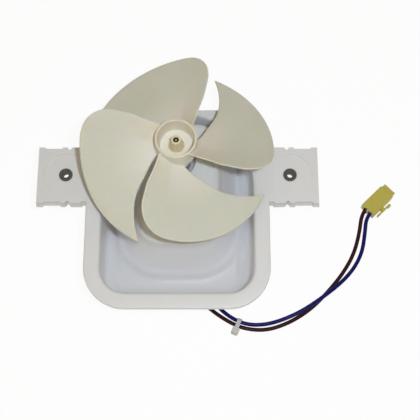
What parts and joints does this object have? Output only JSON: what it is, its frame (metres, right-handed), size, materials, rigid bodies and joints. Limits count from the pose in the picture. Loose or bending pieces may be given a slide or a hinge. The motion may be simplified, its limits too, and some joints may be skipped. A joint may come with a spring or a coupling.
{
  "type": "refrigerator fan",
  "caption": "Refrigerator air-circulation fan: a swept-blade wheel on an open shaded-pole motor in a moulded tray with side ears, and two leads to a yellow socket.",
  "frame": {"origin": "on the fan axis, at the flat rear face of the motor's rear end cap", "axes": "+Z along the fan axis out of the front, +X towards the right ear seen from the front, +Y up the tray towards its flat top edge"},
  "size_m": [0.2181, 0.1537, 0.0722],
  "materials": {
    "white_plastic": "satin",
    "ivory_plastic": "satin",
    "dark_rubber": "matte",
    "plated_steel": "satin",
    "bright_steel": "ground",
    "lamination_steel": "varnished",
    "cast_aluminium": "as cast",
    "bronze": "sintered",
    "copper": "enamelled",
    "bobbin_nylon": "matte",
    "coil_tape_film": "satin",
    "black_nylon": "matte",
    "oiled_felt": "felted",
    "blue_insulation": "satin",
    "brown_insulation": "satin",
    "grey_nylon": "matte",
    "yellow_nylon": "satin",
    "tinned_brass": "tinned"
  },
  "bodies": {
    "tray": {"tray_bracket": "white_plastic", "left_grommet": "dark_rubber", "right_grommet": "dark_rubber", "left_sleeve": "plated_steel", "right_sleeve": "plated_steel", "stator_core": "lamination_steel", "left_shading_ring": "copper", "right_shading_ring": "copper", "coil_core": "lamination_steel", "coil_bobbin": "bobbin_nylon", "coil_winding": "copper", "coil_tape": "coil_tape_film", "front_bearing_bracket": "cast_aluminium", "rear_bearing_bracket": "cast_aluminium", "front_bearing": "bronze", "rear_bearing": "bronze", "front_felt_ring": "oiled_felt", "rear_felt_ring": "oiled_felt", "front_bearing_retainer": "bright_steel", "rear_bearing_retainer": "bright_steel", "rear_end_cap": "plated_steel", "left_motor_screw": "plated_steel", "right_motor_screw": "plated_steel", "left_damper": "dark_rubber", "right_damper": "dark_rubber", "blue_lead": "blue_insulation", "brown_lead": "brown_insulation", "cable_tie": "grey_nylon", "connector_housing": "yellow_nylon", "blue_crimp_terminal": "tinned_brass", "brown_crimp_terminal": "tinned_brass", "terminal_lock": "grey_nylon"},
    "rotor": {"fan_wheel": "ivory_plastic", "motor_shaft": "bright_steel", "rotor_core": "lamination_steel", "rotor_cage": "cast_aluminium", "front_rotor_spacer": "black_nylon", "rear_rotor_spacer": "black_nylon", "front_thrust_washer": "black_nylon", "rear_thrust_washer": "black_nylon"}
  },
  "joints": [
    {"name": "fan_spin", "type": "hinge", "parent": "tray", "child": "rotor", "pos_m": [0, 0, 0.0625], "axis": [0, 0, 1], "continuous": true}
  ]
}
